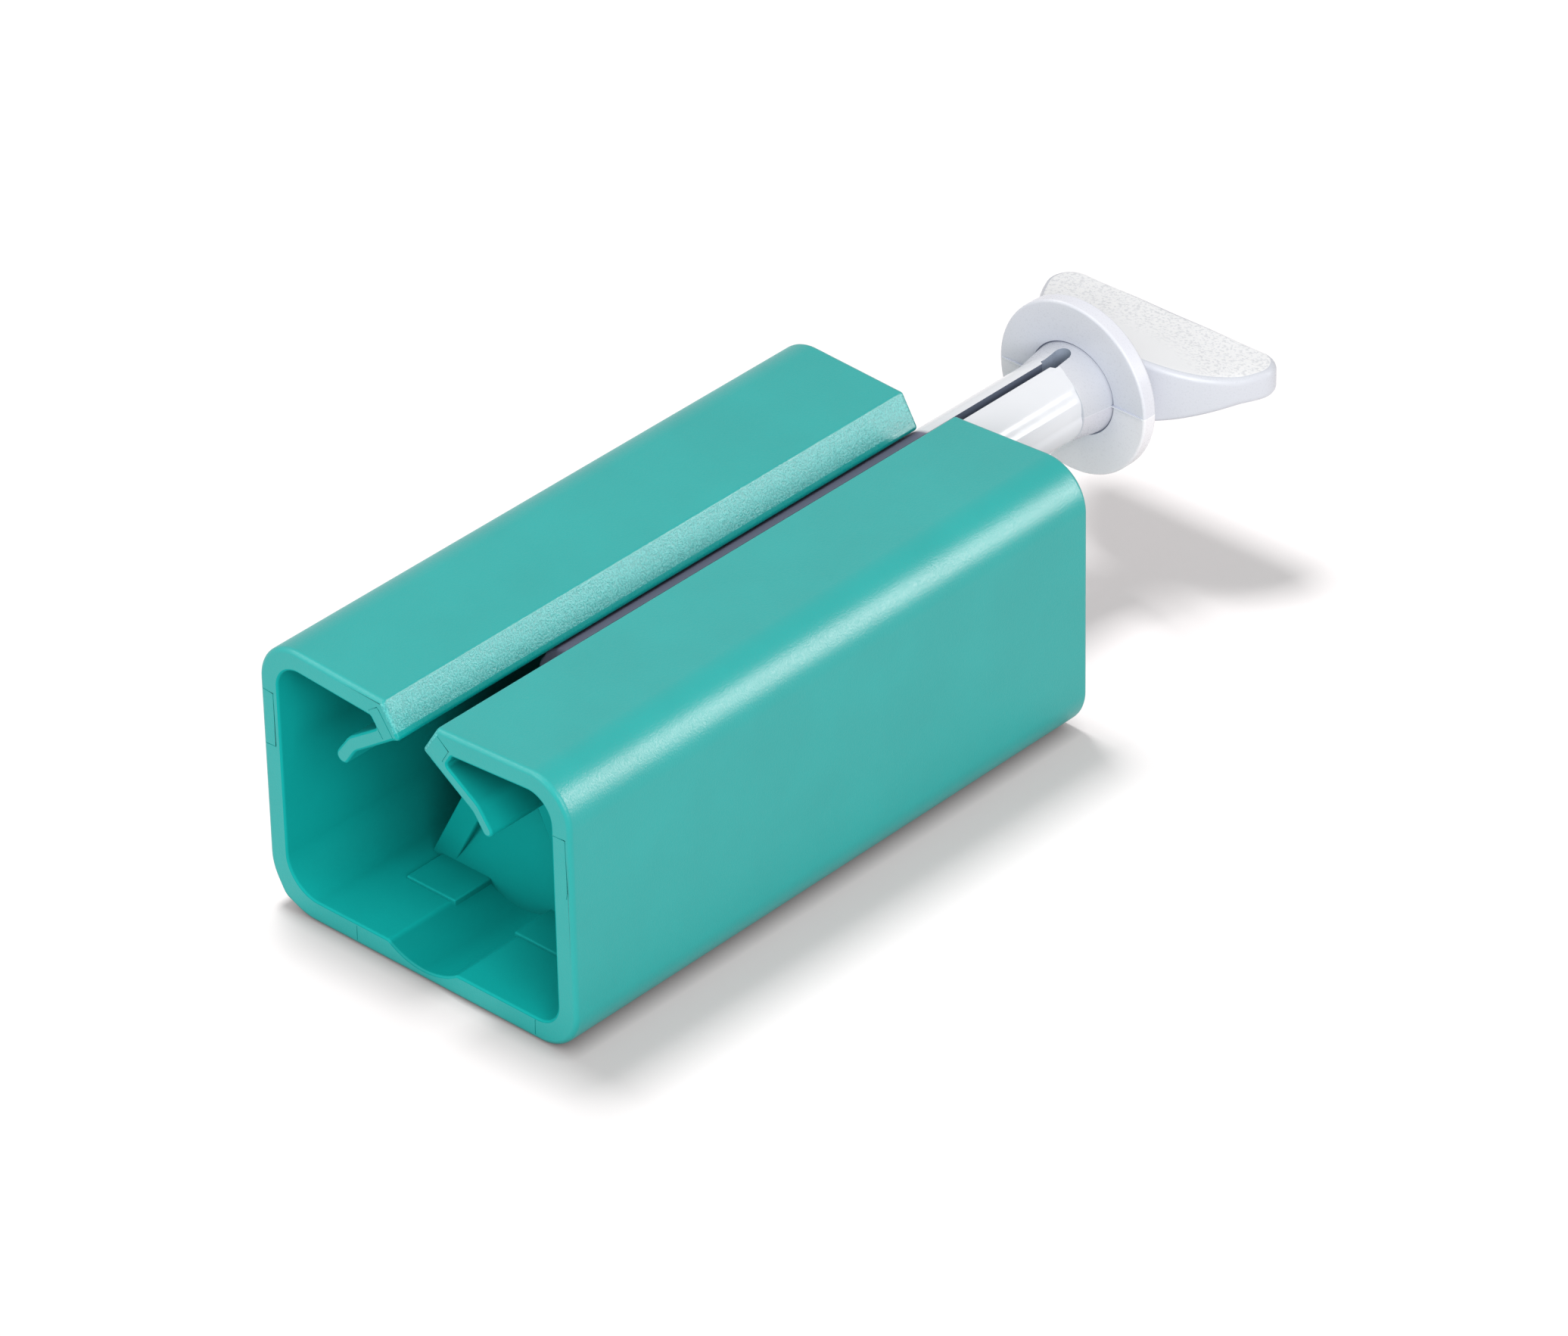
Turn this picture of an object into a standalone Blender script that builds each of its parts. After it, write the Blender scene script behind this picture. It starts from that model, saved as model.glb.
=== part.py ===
"""Toothpaste tube squeezer: a moulded housing with a slot along its top, and a winding key.

The flat end of a tube hangs through the slot into the slit of the key's shaft. Turning the key
winds the tube up inside the housing, while the two lips beside the slot strip it. The key is
shown partly drawn out of the back, as when a tube is loaded.

X is the width, Y runs from the open front end (-Y) to the key's grip (+Y), Z is up. The origin
is the middle of the housing's base, on the surface that it stands on.
"""

import math

import bmesh
import bpy
from mathutils import Matrix, Vector

MM = 0.001

# Housing shell, one extruded section
HOUSING_LENGTH = 75.0 * MM
HOUSING_WIDTH = 41.5 * MM
HOUSING_HEIGHT = 31.6 * MM
TOP_DROOP = 0.85 * MM
WALL = 2.5 * MM
FLOOR = 2.6 * MM
TOP_PLATE = 2.4 * MM
TOP_RADIUS = 5.0 * MM
BASE_RADIUS_LEFT = 5.9 * MM
BASE_RADIUS_RIGHT = 5.0 * MM
INNER_TOP_RADIUS = 2.9 * MM
INNER_BASE_RADIUS_LEFT = 4.0 * MM
INNER_BASE_RADIUS_RIGHT = 2.8 * MM
RIM_ROUNDING = 0.25 * MM

# Slot along the top and the two stripping lips that hang below it
SLOT_HALF_WIDTH = 3.8 * MM
SLOT_EDGE_ROUNDING = 0.35 * MM
SLOT_HALF_NECK = 1.55 * MM
NOSE_ROUNDING = 0.4 * MM
LIP_APEX_DROP = 3.15 * MM
LIP_PITCH = math.radians(34.0)
LIP_THICKNESS_LEFT = 1.65 * MM
LIP_THICKNESS_RIGHT = 1.35 * MM
LIP_BEND_X = 7.85 * MM
LIP_BEND_ROUNDING = 2.6 * MM
LIP_TIP_REACH = 1.6 * MM
LIP_TIP_FALL = 2.35 * MM
LIP_TIP_ROUNDING = 0.6 * MM
LIP_ROOT_LEFT = 4.75 * MM
LIP_ROOT_RIGHT = 4.5 * MM
LIP_ROOT_SLANT = 0.8 * MM

# Braces across the inside, each with a saddle that carries the shaft
BRACE_THICKNESS = 3.2 * MM
BRACE_HALF_BASE = 12.1 * MM
BRACE_LEAN = math.radians(27.9)
FRONT_BRACE_INSET = 13.8 * MM
REAR_BRACE_INSET = 1.2 * MM
BRACE_RIM = 2.9 * MM
BRACE_RECESS_SLOPE = math.radians(9.0)
SADDLE_WALL = 1.8 * MM
RECESS_CLEARANCE = 0.1 * MM
SADDLE_WRAP = math.radians(150.0)

# Finger trough and the two low pads in the floor, in front of the front brace
TROUGH_WIDTH = 9.2 * MM
TROUGH_DEPTH = 1.45 * MM
PAD_INNER = 4.0 * MM
PAD_OUTER = 10.7 * MM
PAD_LENGTH = 5.1 * MM
PAD_HEIGHT = 0.3 * MM

# Winding key, measured along its own axis
KEY_CLEARANCE = 0.32 * MM
JOINT_GAP = 0.3 * MM
KEY_DRAWN_OUT = 17.1 * MM
SHAFT_RADIUS = 4.6 * MM
SHAFT_LENGTH = 72.6 * MM
SHAFT_TIP_ROUNDING = 1.2 * MM
SLIT_WIDTH = 1.0 * MM
SPIGOT_WIDTH = 5.0 * MM
SPIGOT_LENGTH = 5.5 * MM
COLLAR_RADIUS = 5.4 * MM
COLLAR_LENGTH = 4.3 * MM
COLLAR_ROUNDING = 0.6 * MM
KEYHOLE_WIDTH = 1.9 * MM
KEYHOLE_LENGTH = 3.95 * MM
FLANGE_RADIUS = 9.8 * MM
FLANGE_THICKNESS = 1.8 * MM
FLANGE_RIM_WIDTH = 0.7 * MM
FLANGE_RIM_HEIGHT = 0.25 * MM
FLANGE_ROUNDING = 0.35 * MM
STEM_RADIUS = 4.0 * MM
WING_GAP = 1.0 * MM
WING_DEPTH = 13.6 * MM
WING_ARC_RADIUS = 15.8 * MM
WING_TIP_RADIUS = 2.5 * MM
WING_EDGE_THICKNESS = 3.5 * MM
WING_HUB_THICKNESS = 8.8 * MM
WING_HUB_HALF_WIDTH = 13.4 * MM
WING_EDGE_ROUNDING = 0.8 * MM

ARC_STEP = math.radians(11.0)
ROUND_SEGMENTS = 48
OVERLAP = 1.0 * MM


def key_axis_height():
    """Height of the key's axis, with the shaft just clear of both lips."""
    apex = HOUSING_HEIGHT - LIP_APEX_DROP
    return apex - (SHAFT_RADIUS + KEY_CLEARANCE) / math.cos(LIP_PITCH)


def rear_end():
    return HOUSING_LENGTH / 2


def collar_front():
    """Place of the collar's front face along Y."""
    return rear_end() + JOINT_GAP + KEY_DRAWN_OUT


def make_material(name, colour, roughness):
    material = bpy.data.materials.new(name)
    material.use_nodes = True
    shader = material.node_tree.nodes["Principled BSDF"]
    shader.inputs["Base Color"].default_value = (*colour, 1.0)
    shader.inputs["Roughness"].default_value = roughness
    shader.inputs["Metallic"].default_value = 0.0
    return material


def mesh_object(name, bm, material=None):
    """Turn a bmesh into a smooth-shaded object with its faces pointing out."""
    bmesh.ops.recalc_face_normals(bm, faces=bm.faces)
    mesh = bpy.data.meshes.new(name)
    bm.to_mesh(mesh)
    bm.free()
    mesh.shade_smooth()
    mesh.set_sharp_from_angle(angle=math.radians(32.0))
    if material:
        mesh.materials.append(material)
    obj = bpy.data.objects.new(name, mesh)
    bpy.context.scene.collection.objects.link(obj)
    return obj


def boolean(target, tool, operation):
    """Join or cut with a hidden tool object, which stays editable."""
    tool.hide_render = True
    tool.display_type = "WIRE"
    tool.parent = target.parent
    modifier = target.modifiers.new(tool.name, "BOOLEAN")
    modifier.operation = operation
    modifier.solver = "EXACT"
    modifier.object = tool


def arc_points(centre, radius, start, end, steps):
    """Points on an arc from one angle to another, both ends included."""
    angles = [start + (end - start) * i / steps for i in range(steps + 1)]
    return [Vector((centre[0] + radius * math.cos(a), centre[1] + radius * math.sin(a)))
            for a in angles]


def rounded_outline(corners):
    """Closed outline whose corners (a, b, radius) are rounded by tangent arcs."""
    points = []
    for i, (a, b, radius) in enumerate(corners):
        here = Vector((a, b))
        before = (Vector(corners[i - 1][:2]) - here).normalized()
        after = (Vector(corners[(i + 1) % len(corners)][:2]) - here).normalized()
        half = before.angle(after) / 2
        centre = here + (before + after).normalized() * radius / math.sin(half)
        start = here + before * radius / math.tan(half) - centre
        turn = math.pi - 2 * half
        sweep = -turn if before.cross(after) > 0 else turn
        first = math.atan2(start.y, start.x)
        steps = max(1, round(turn / ARC_STEP))
        points += arc_points(centre, radius, first, first + sweep, steps)
    return points


def prism(name, outline, start, end, material=None):
    """Solid between two planes of Y, with its outline given in X and Z."""
    bm = bmesh.new()
    front = [bm.verts.new((x, start, z)) for x, z in outline]
    back = [bm.verts.new((x, end, z)) for x, z in outline]
    bm.faces.new(front)
    bm.faces.new(reversed(back))
    for i in range(len(outline)):
        bm.faces.new((front[i - 1], back[i - 1], back[i], front[i]))
    return mesh_object(name, bm, material)


def box(name, low, high, material=None):
    """Solid box between two opposite corners."""
    size = Vector(high) - Vector(low)
    middle = (Vector(high) + Vector(low)) / 2
    bm = bmesh.new()
    bmesh.ops.create_cube(bm, size=1.0, matrix=Matrix.LocRotScale(middle, None, size))
    return mesh_object(name, bm, material)


def turned(name, profile, material=None):
    """Solid of revolution about the Y axis, from (radius, y) points starting and ending on it."""
    bm = bmesh.new()
    poles = [bm.verts.new((0, y, 0)) for y in (profile[0][1], profile[-1][1])]
    rings = []
    for radius, y in profile[1:-1]:
        angles = [2 * math.pi * i / ROUND_SEGMENTS for i in range(ROUND_SEGMENTS)]
        rings.append([bm.verts.new((radius * math.sin(a), y, radius * math.cos(a)))
                      for a in angles])
    for i in range(ROUND_SEGMENTS):
        bm.faces.new((poles[0], rings[0][i - 1], rings[0][i]))
        bm.faces.new((poles[1], rings[-1][i], rings[-1][i - 1]))
        for inner, outer in zip(rings, rings[1:]):
            bm.faces.new((inner[i - 1], outer[i - 1], outer[i], inner[i]))
    return mesh_object(name, bm, material)


def lip_underside(x):
    """Height of a lip's straight lower face at a distance x from the middle."""
    return HOUSING_HEIGHT - LIP_APEX_DROP - x * math.tan(LIP_PITCH)


def lip_corners(side, thickness, root):
    """Corners of one lip, from its nose round its tip to the underside of the top plate."""
    upper = thickness / math.cos(LIP_PITCH)
    bend_z = lip_underside(LIP_BEND_X)
    outer_bend = LIP_BEND_X + thickness * math.sin(LIP_PITCH)
    tip = Vector((LIP_BEND_X + LIP_TIP_REACH, bend_z - LIP_TIP_FALL))
    along = Vector((LIP_TIP_REACH, -LIP_TIP_FALL)).normalized()
    tip_outer = tip + thickness * Vector((-along.y, along.x))
    root_z = lip_underside(root) + upper
    plate_z = HOUSING_HEIGHT - TOP_DROOP - TOP_PLATE
    corners = [
        (SLOT_HALF_NECK, lip_underside(SLOT_HALF_NECK), NOSE_ROUNDING),
        (LIP_BEND_X, bend_z, LIP_BEND_ROUNDING),
        (tip.x, tip.y, LIP_TIP_ROUNDING),
        (tip_outer.x, tip_outer.y, LIP_TIP_ROUNDING),
        (outer_bend, lip_underside(outer_bend) + upper, LIP_BEND_ROUNDING),
        (root, root_z, SLOT_EDGE_ROUNDING),
        (root + LIP_ROOT_SLANT, plate_z, SLOT_EDGE_ROUNDING),
    ]
    return [(side * x, z, radius) for x, z, radius in corners]


def housing_outline():
    """Section of the housing, clockwise seen from the front, starting right of the slot."""
    half = HOUSING_WIDTH / 2
    inner = half - WALL
    slot_z = HOUSING_HEIGHT - TOP_DROOP
    ceiling = HOUSING_HEIGHT - TOP_PLATE
    left_lip = lip_corners(-1, LIP_THICKNESS_LEFT, LIP_ROOT_LEFT)
    right_lip = lip_corners(1, LIP_THICKNESS_RIGHT, LIP_ROOT_RIGHT)
    return rounded_outline([
        (SLOT_HALF_WIDTH, slot_z, SLOT_EDGE_ROUNDING),
        (half, HOUSING_HEIGHT, TOP_RADIUS),
        (half, 0, BASE_RADIUS_RIGHT),
        (-half, 0, BASE_RADIUS_LEFT),
        (-half, HOUSING_HEIGHT, TOP_RADIUS),
        (-SLOT_HALF_WIDTH, slot_z, SLOT_EDGE_ROUNDING),
        *left_lip,
        (-inner, ceiling, INNER_TOP_RADIUS),
        (-inner, FLOOR, INNER_BASE_RADIUS_LEFT),
        (inner, FLOOR, INNER_BASE_RADIUS_RIGHT),
        (inner, ceiling, INNER_TOP_RADIUS),
        *reversed(right_lip),
    ])


def brace_outline():
    """A brace: two legs that lean together and end in a saddle round the shaft."""
    axis_z = key_axis_height()
    bore = SHAFT_RADIUS + KEY_CLEARANCE
    outer = bore + SADDLE_WALL
    lean = math.tan(BRACE_LEAN)
    # The leg's outer face, x = BRACE_HALF_BASE - lean * (z - FLOOR), meets the saddle's outside
    # where u, the height above the axis, solves (reach - lean * u)^2 + u^2 = outer^2
    reach = BRACE_HALF_BASE - lean * (axis_z - FLOOR)
    a = 1 + lean * lean
    root = math.sqrt(max(0.0, reach * reach * lean * lean - a * (reach * reach - outer * outer)))
    meet = (reach * lean - root) / a
    meet_angle = math.atan2(meet, reach - lean * meet)
    horn_angle = (SADDLE_WRAP - math.pi) / 2
    foot_z = (FLOOR - TROUGH_DEPTH) / 2
    foot_x = BRACE_HALF_BASE + lean * (FLOOR - foot_z)
    right = arc_points((0, axis_z), outer, meet_angle, horn_angle, 6)
    cradle = arc_points((0, axis_z), bore, horn_angle, -math.pi - horn_angle, 18)
    left = [Vector((-p.x, p.y)) for p in reversed(right)]
    return [Vector((foot_x, foot_z)), *right, *cradle, *left, Vector((-foot_x, foot_z))]


def add_brace(housing, name, front, recess_side):
    """Put a brace into the housing, with a recess between its legs on the front (-1) or back (1).

    The recess starts at the pads and gets deeper upwards, and stops below the saddle.
    """
    back = front + BRACE_THICKNESS
    boolean(housing, prism(name, brace_outline(), front, back), "UNION")

    lean = math.tan(BRACE_LEAN)
    foot_z = FLOOR + PAD_HEIGHT + RECESS_CLEARANCE
    height = key_axis_height() - SHAFT_RADIUS - KEY_CLEARANCE - 2 * SADDLE_WALL - foot_z
    half_low = BRACE_HALF_BASE - BRACE_RIM / math.cos(BRACE_LEAN) - lean * (foot_z - FLOOR)
    half_high = half_low - lean * height
    outline = [(half_low, 0), (half_high, height), (-half_high, height), (-half_low, 0)]
    span = sorted((recess_side * BRACE_THICKNESS, 0))
    recess = prism(name + "_recess", outline, *span)
    recess.rotation_euler.x = recess_side * BRACE_RECESS_SLOPE
    recess.location = (0, front if recess_side < 0 else back, foot_z)
    boolean(housing, recess, "DIFFERENCE")


def build_housing(material):
    """The moulded shell with its lips, braces, floor pads and finger trough."""
    front_end = -HOUSING_LENGTH / 2
    housing = prism("housing", housing_outline(), front_end, rear_end(), material)
    rounding = housing.modifiers.new("rim_rounding", "BEVEL")
    rounding.width = RIM_ROUNDING
    rounding.segments = 2
    rounding.limit_method = "ANGLE"
    rounding.angle_limit = math.radians(60.0)

    brace_front = front_end + FRONT_BRACE_INSET
    for side, name in ((-1, "pad_left"), (1, "pad_right")):
        left, right = sorted((side * PAD_INNER, side * PAD_OUTER))
        low = (left, brace_front - PAD_LENGTH, FLOOR - OVERLAP)
        high = (right, brace_front + BRACE_THICKNESS / 2, FLOOR + PAD_HEIGHT)
        boolean(housing, box(name, low, high), "UNION")

    half = TROUGH_WIDTH / 2
    radius = (half * half + TROUGH_DEPTH * TROUGH_DEPTH) / (2 * TROUGH_DEPTH)
    centre = (0, FLOOR - TROUGH_DEPTH + radius)
    spread = math.asin(half / radius) * 1.1
    bowl = arc_points(centre, radius, -math.pi / 2 - spread, -math.pi / 2 + spread, 20)
    trough = prism("trough", bowl, front_end - OVERLAP, brace_front + BRACE_THICKNESS / 2)
    boolean(housing, trough, "DIFFERENCE")

    add_brace(housing, "front_brace", brace_front, -1)
    add_brace(housing, "rear_brace", rear_end() - REAR_BRACE_INSET - BRACE_THICKNESS, 1)
    return housing


def build_shaft(material, pivot):
    """The split winding shaft, with a square spigot that plugs into the handle."""
    shoulder = -JOINT_GAP
    tip = -SHAFT_LENGTH
    nose = arc_points((SHAFT_RADIUS - SHAFT_TIP_ROUNDING, tip + SHAFT_TIP_ROUNDING),
                      SHAFT_TIP_ROUNDING, -math.pi / 2, 0, 5)
    profile = [(0, tip), *[(p.x, p.y) for p in nose], (SHAFT_RADIUS, shoulder), (0, shoulder)]
    shaft = turned("winding_shaft", profile, material)
    shaft.parent = pivot

    half = SPIGOT_WIDTH / 2
    spigot = box("spigot", (-half, shoulder - OVERLAP, -half), (half, SPIGOT_LENGTH, half))
    boolean(shaft, spigot, "UNION")
    reach = SHAFT_RADIUS + OVERLAP
    slit = box("slit", (-SLIT_WIDTH / 2, tip - OVERLAP, -reach),
               (SLIT_WIDTH / 2, KEYHOLE_LENGTH - KEYHOLE_WIDTH / 2, reach))
    boolean(shaft, slit, "DIFFERENCE")
    return shaft


def wing_outline():
    """Half-moon outline in X and Y: a round side by the flange, a straight back, round tips."""
    apex = COLLAR_LENGTH + FLANGE_THICKNESS + WING_GAP
    centre_y = apex + WING_ARC_RADIUS
    back = apex + WING_DEPTH
    tip_y = back - WING_TIP_RADIUS
    tip_x = math.sqrt((WING_ARC_RADIUS - WING_TIP_RADIUS) ** 2 - (centre_y - tip_y) ** 2)
    swing = math.atan2(tip_y - centre_y, tip_x)
    arc = arc_points((0, centre_y), WING_ARC_RADIUS, -math.pi - swing, swing, 30)
    right = arc_points((tip_x, tip_y), WING_TIP_RADIUS, swing, math.pi / 2, 8)
    left = [Vector((-p.x, p.y)) for p in reversed(right)]
    edge = [Vector((tip_x * (1 - 2 * i / 10), back)) for i in range(1, 10)]
    return arc[1:-1] + right + edge + left


def wing_half_thickness(x, y):
    """Half the wing's thickness: thin at the tips and the back, swelling towards the stem."""
    apex = COLLAR_LENGTH + FLANGE_THICKNESS + WING_GAP
    arc_y = apex + WING_ARC_RADIUS - math.sqrt(max(0.0, WING_ARC_RADIUS ** 2 - x * x))
    across = max(0.0, 1 - (x / WING_HUB_HALF_WIDTH) ** 2)
    along = min(1.0, max(0.0, (y - arc_y) / (apex + WING_DEPTH - arc_y)))
    swell = (WING_HUB_THICKNESS - WING_EDGE_THICKNESS) * across * (1 - along) ** 2
    return (WING_EDGE_THICKNESS + swell) / 2


def build_wing():
    """Closed half-moon grip with a dished face on both sides and a rolled edge."""
    outline = wing_outline()
    middle = Vector((0, COLLAR_LENGTH + FLANGE_THICKNESS + WING_GAP + WING_DEPTH * 0.55))
    rolls = [(a, WING_EDGE_ROUNDING * (1 - math.sin(a)), WING_EDGE_ROUNDING * (1 - math.cos(a)))
             for a in (0, math.radians(30), math.radians(60), math.radians(90))]
    bm = bmesh.new()
    sides = []
    for side in (1, -1):
        rings = []
        for angle, drop, inset in rolls:
            ring = []
            for point in outline:
                inward = middle - point
                place = point + inward.normalized() * inset
                height = wing_half_thickness(place.x, place.y) - drop
                ring.append(bm.verts.new((place.x, place.y, side * height)))
            rings.append(ring)
        for share in (0.85, 0.65, 0.4, 0.2):
            places = [middle + (point - middle) * share for point in outline]
            rings.append([bm.verts.new((p.x, p.y, side * wing_half_thickness(p.x, p.y)))
                          for p in places])
        for outer, inner in zip(rings, rings[1:]):
            for i in range(len(outline)):
                bm.faces.new((outer[i - 1], outer[i], inner[i], inner[i - 1]))
        centre = bm.verts.new((middle.x, middle.y, side * wing_half_thickness(*middle)))
        for i in range(len(outline)):
            bm.faces.new((rings[-1][i - 1], rings[-1][i], centre))
        sides.append(rings[0])
    for i in range(len(outline)):
        bm.faces.new((sides[0][i - 1], sides[1][i - 1], sides[1][i], sides[0][i]))
    return mesh_object("wing", bm)


def build_handle(material, pivot):
    """Collar, flange, stem and wing of the key, with a square socket for the shaft."""
    flange_front = COLLAR_LENGTH
    flange_back = flange_front + FLANGE_THICKNESS
    rim_inner = FLANGE_RADIUS - FLANGE_RIM_WIDTH
    collar = arc_points((COLLAR_RADIUS - COLLAR_ROUNDING, COLLAR_ROUNDING),
                        COLLAR_ROUNDING, -math.pi / 2, 0, 4)
    front_edge = arc_points((FLANGE_RADIUS - FLANGE_ROUNDING,
                             flange_front - FLANGE_RIM_HEIGHT + FLANGE_ROUNDING),
                            FLANGE_ROUNDING, -math.pi / 2, 0, 3)
    back_edge = arc_points((FLANGE_RADIUS - FLANGE_ROUNDING, flange_back - FLANGE_ROUNDING),
                           FLANGE_ROUNDING, 0, math.pi / 2, 3)
    stem_end = flange_back + WING_GAP + WING_DEPTH / 3
    profile = [
        (0, 0),
        *[(p.x, p.y) for p in collar],
        (COLLAR_RADIUS, flange_front),
        (rim_inner, flange_front),
        (rim_inner + FLANGE_RIM_HEIGHT, flange_front - FLANGE_RIM_HEIGHT),
        *[(p.x, p.y) for p in front_edge],
        *[(p.x, p.y) for p in back_edge],
        (STEM_RADIUS, flange_back),
        (STEM_RADIUS * 0.75, stem_end),
        (0, stem_end),
    ]
    handle = turned("key_handle", profile, material)
    handle.parent = pivot
    boolean(handle, build_wing(), "UNION")

    half = SPIGOT_WIDTH / 2 + JOINT_GAP
    socket = box("socket", (-half, -OVERLAP, -half), (half, SPIGOT_LENGTH + JOINT_GAP, half))
    boolean(handle, socket, "DIFFERENCE")
    half = KEYHOLE_WIDTH / 2
    round_end = arc_points((0, KEYHOLE_LENGTH - half), half, 0, math.pi, 10)
    outline = [Vector((half, -OVERLAP)), *round_end, Vector((-half, -OVERLAP))]
    bm = bmesh.new()
    reach = COLLAR_RADIUS + OVERLAP
    low = [bm.verts.new((p.x, p.y, -reach)) for p in outline]
    high = [bm.verts.new((p.x, p.y, reach)) for p in outline]
    bm.faces.new(low)
    bm.faces.new(reversed(high))
    for i in range(len(outline)):
        bm.faces.new((low[i - 1], high[i - 1], high[i], low[i]))
    boolean(handle, mesh_object("keyhole", bm), "DIFFERENCE")
    return handle


def main():
    for obj in list(bpy.data.objects):
        bpy.data.objects.remove(obj, do_unlink=True)
    teal = make_material("teal_housing", (0.070, 0.440, 0.420), 0.42)
    gloss_white = make_material("white_shaft", (0.86, 0.87, 0.90), 0.12)
    satin_white = make_material("white_handle", (0.80, 0.82, 0.86), 0.35)

    build_housing(teal)
    pivot = bpy.data.objects.new("key_pivot", None)
    pivot.location = (0, collar_front(), key_axis_height())
    bpy.context.scene.collection.objects.link(pivot)
    build_shaft(gloss_white, pivot)
    build_handle(satin_white, pivot)


main()
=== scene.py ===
"""Looks of the toothpaste tube squeezer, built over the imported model.

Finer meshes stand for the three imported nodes, from the same sizes as the solids. X is the width, Y
runs from the open front end (-Y) to the key's grip (+Y), Z is up, all in metres.
"""

import math

import bmesh
import bpy
from mathutils import Matrix, Vector


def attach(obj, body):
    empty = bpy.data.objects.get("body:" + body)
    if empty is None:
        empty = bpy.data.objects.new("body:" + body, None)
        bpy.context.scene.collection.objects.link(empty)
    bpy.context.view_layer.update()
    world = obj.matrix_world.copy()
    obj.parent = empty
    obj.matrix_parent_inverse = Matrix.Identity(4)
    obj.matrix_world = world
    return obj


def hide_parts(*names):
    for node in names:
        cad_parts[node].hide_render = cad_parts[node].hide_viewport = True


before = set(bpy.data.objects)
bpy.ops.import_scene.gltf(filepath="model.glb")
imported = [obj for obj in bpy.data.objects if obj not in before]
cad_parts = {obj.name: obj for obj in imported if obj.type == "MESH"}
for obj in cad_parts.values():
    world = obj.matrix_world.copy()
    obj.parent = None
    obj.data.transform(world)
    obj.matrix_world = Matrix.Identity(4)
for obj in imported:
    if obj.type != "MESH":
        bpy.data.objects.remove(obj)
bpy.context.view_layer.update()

MM = 0.001
TINY = 0.0001 * MM
NEAR = 0.1 * MM
SMALL_RADIUS = 1.5 * MM
ROUND_SEGMENTS = 144
WHITE = (1.0, 1.0, 1.0)

# Housing shell, one extruded section; its end rims are rounder on the outside and on the noses
HOUSING_LENGTH = 75.0 * MM
HOUSING_WIDTH = 41.5 * MM
HOUSING_HEIGHT = 31.6 * MM
TOP_DROOP = 0.85 * MM
WALL = 2.5 * MM
FLOOR = 2.6 * MM
TOP_PLATE = 2.4 * MM
TOP_RADIUS = 5.0 * MM
BASE_RADIUS_LEFT = 5.9 * MM
BASE_RADIUS_RIGHT = 5.0 * MM
INNER_TOP_RADIUS = 2.9 * MM
INNER_BASE_RADIUS_LEFT = 4.0 * MM
INNER_BASE_RADIUS_RIGHT = 2.8 * MM
RIM_ROUNDING = 0.25 * MM
OUTER_RIM_EXTRA = 0.3 * MM
NOSE_RIM_EXTRA = 0.12 * MM

# How far in from each side a point of the section still counts as outside
SIDE_SKIN = 1.7 * MM
TOP_SKIN = 0.3 * MM
BASE_SKIN = 1.2 * MM
CORNER_SKIN = 1.2 * MM

# Slot along the top: a coarse chamfer on each side ends in a nose above the shaft
SLOT_LEFT = 3.8 * MM
SLOT_RIGHT = 3.4 * MM
SLOT_EDGE_ROUNDING = 0.35 * MM
COARSE_END = 27.76 * MM
NOSE_LEFT = 1.70 * MM
NOSE_RIGHT = 1.36 * MM
NOSE_ROUNDING = 0.4 * MM
NOSE_DROP_LEFT = 0.3 * MM
NOSE_DROP_RIGHT = 0.02 * MM
NOSE_WIDTH = 1.1 * MM
NOSE_HEEL_ROUNDING = 1.2 * MM
NOSE_BOTTOM = 26.0 * MM
NOSE_FACE_BOTTOM = 26.5 * MM
NOSE_FACE_REACH = 2.2 * MM

# Stripping lips that hang beside the slot, each bent down towards its tip
LIP_APEX_DROP = 3.15 * MM
LIP_PITCH = math.radians(34.0)
LIP_THICKNESS_LEFT = 1.65 * MM
LIP_THICKNESS_RIGHT = 1.35 * MM
LIP_BEND_X = 7.85 * MM
LIP_BEND_ROUNDING = 2.6 * MM
LIP_TIP_REACH = 1.6 * MM
LIP_TIP_FALL = 2.35 * MM
LIP_TIP_ROUNDING_LEFT = 0.78 * MM
LIP_TIP_ROUNDING_RIGHT = 0.64 * MM
LIP_ROOT_LEFT = 4.75 * MM
LIP_ROOT_RIGHT = 4.5 * MM
LIP_ROOT_SLANT = 0.8 * MM

# Braces across the inside, each with a saddle that carries the shaft
BRACE_THICKNESS = 3.2 * MM
BRACE_HALF_BASE = 12.1 * MM
BRACE_LEAN = math.radians(27.9)
FRONT_BRACE_INSET = 13.8 * MM
REAR_BRACE_INSET = 1.2 * MM
BRACE_RIM = 2.9 * MM
BRACE_RECESS_SLOPE = math.radians(9.0)
SADDLE_WALL = 1.8 * MM
RECESS_CLEARANCE = 0.1 * MM
SADDLE_WRAP = math.radians(150.0)
BRACE_EDGE_ROUNDING = 0.3 * MM

# Finger trough and the two low pads in the floor, in front of the front brace
TROUGH_WIDTH = 9.2 * MM
TROUGH_DEPTH = 1.45 * MM
TROUGH_REACH = 0.62 * TROUGH_WIDTH
TROUGH_EDGE_SOFTNESS = 0.035 * MM
TROUGH_END_SLOPE = 0.3 * MM
TROUGH_STEPS = 60
PAD_INNER = 4.0 * MM
PAD_OUTER = 10.7 * MM
PAD_LENGTH = 5.1 * MM
PAD_HEIGHT = 0.3 * MM
PAD_IN_FLOOR = 0.8 * MM
PAD_IN_BRACE = 0.5 * MM
PAD_EDGE_ROUNDING = 0.18 * MM

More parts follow.
